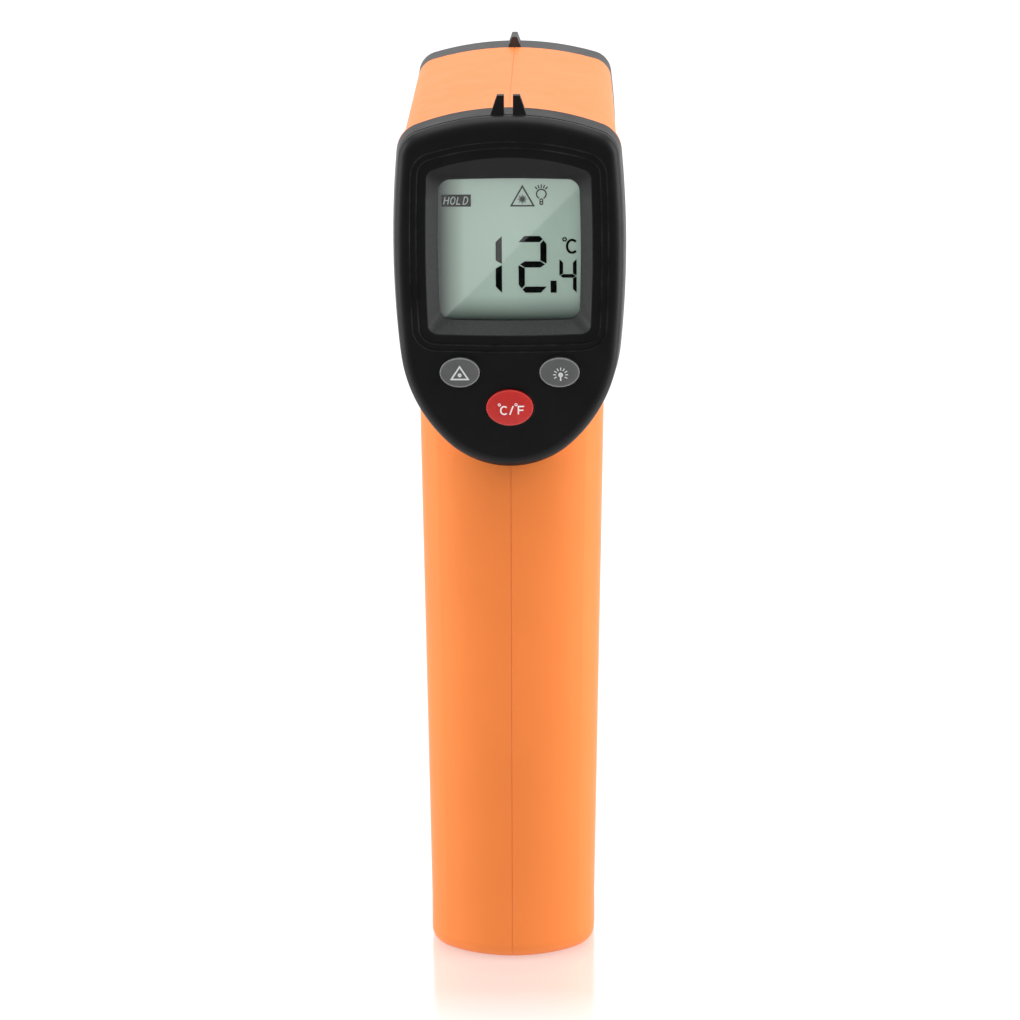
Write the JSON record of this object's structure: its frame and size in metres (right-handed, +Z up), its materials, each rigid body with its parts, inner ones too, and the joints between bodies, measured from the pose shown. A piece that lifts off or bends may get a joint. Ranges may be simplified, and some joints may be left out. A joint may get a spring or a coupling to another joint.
{
  "type": "infrared thermometer",
  "caption": "Pistol-grip infrared thermometer: orange two-part housing, black display bezel with sights and push buttons, nose lens, sprung trigger and battery door in the grip.",
  "frame": {"origin": "centre of the flat face at the foot of the grip", "axes": "+Z up, +Y forwards where the lens points, +X to the user's right; the display faces -Y"},
  "size_m": [0.0422, 0.1, 0.1578],
  "materials": {
    "orange_abs": "fine moulded satin texture",
    "black_abs": "fine satin texture",
    "door_abs": "fine moulded satin texture",
    "trigger_abs": "satin",
    "clear_pc": "clear, polished",
    "lcd_glass": "greenish grey reflective display",
    "grey_silicone": "matt moulded rubber",
    "red_silicone": "matt moulded rubber",
    "foam": "matt foam",
    "white_plastic": "matt white",
    "zebra_rubber": "striped rubber",
    "green_board": "solder mask over glass fibre",
    "chip_black": "matt epoxy",
    "capacitor_can": "bare can with sleeve",
    "buzzer_black": "matt",
    "switch_steel": "bright tin plate",
    "plunger_black": "satin",
    "milky_lens": "milky polyethylene",
    "tube_black": "matt black",
    "sensor_can": "bright nickel",
    "laser_brass": "turned brass",
    "red_glass": "clear red",
    "tray_abs": "matt black",
    "cell_wrap": "plain printed sleeve over steel",
    "spring_steel": "nickel plated",
    "screw_steel": "black zinc plated",
    "pin_steel": "ground",
    "red_wire": "insulation",
    "black_wire": "insulation",
    "grey_wire": "insulation"
  },
  "bodies": {
    "housing": {"left_housing": "orange_abs", "right_housing": "orange_abs", "housing_screws": "screw_steel", "rear_bezel": "black_abs", "button_switches": "switch_steel", "display_window": "clear_pc", "lcd_gasket": "foam", "lcd_glass": "lcd_glass", "lcd_holder": "white_plastic", "backlight_diffuser": "white_plastic", "zebra_strip": "zebra_rubber", "backlight_led": "white_plastic", "main_board": "green_board", "board_screws": "screw_steel", "controller_chip": "chip_black", "amplifier_chip": "chip_black", "capacitors": "capacitor_can", "buzzer": "buzzer_black", "nose_ring": "black_abs", "optics_tube": "tube_black", "lens_retainer": "tube_black", "lens": "milky_lens", "thermopile_sensor": "sensor_can", "sensor_board": "green_board", "laser_holder": "tube_black", "laser_window": "red_glass", "laser_module": "laser_brass", "battery_tray": "tray_abs", "battery_cell_left": "cell_wrap", "battery_cell_right": "cell_wrap", "contact_bridge": "spring_steel", "contact_springs": "spring_steel", "trigger_pin": "pin_steel", "trigger_board": "green_board", "trigger_switch": "plunger_black", "trigger_spring": "spring_steel", "battery_wire_red": "red_wire", "battery_wire_black": "black_wire", "sensor_wires": "grey_wire", "laser_wires": "grey_wire", "trigger_wires": "grey_wire"},
    "trigger": {"trigger": "trigger_abs"},
    "laser_button": {"laser_button": "grey_silicone", "laser_plunger": "plunger_black"},
    "backlight_button": {"backlight_button": "grey_silicone", "backlight_plunger": "plunger_black"},
    "unit_button": {"unit_button": "red_silicone", "unit_plunger": "plunger_black"},
    "battery_door": {"battery_door": "door_abs"}
  },
  "joints": [
    {"name": "trigger_pull", "type": "hinge", "parent": "housing", "child": "trigger", "pos_m": [0, 0.041, 0.105], "axis": [-1, 0, 0], "range_deg": [0, 8], "stiffness_Nm_per_rad": 0.4, "springref_deg": -8.59, "deforming": ["trigger_spring"]},
    {"name": "laser_button_press", "type": "slide", "parent": "housing", "child": "laser_button", "axis": [0, 0.9976, -0.0698], "range_m": [0, 0.0005], "stiffness_N_per_m": 3000, "springref_m": -0.0002},
    {"name": "backlight_button_press", "type": "slide", "parent": "housing", "child": "backlight_button", "axis": [0, 0.9976, -0.0698], "range_m": [0, 0.0005], "stiffness_N_per_m": 3000, "springref_m": -0.0002},
    {"name": "unit_button_press", "type": "slide", "parent": "housing", "child": "unit_button", "axis": [0, 0.9976, -0.0698], "range_m": [0, 0.0005], "stiffness_N_per_m": 3000, "springref_m": -0.0002},
    {"name": "battery_door_hinge", "type": "hinge", "parent": "housing", "child": "battery_door", "pos_m": [0, 0.01373, 0.00791], "axis": [-1, 0, 0], "range_deg": [0, 80]}
  ]
}
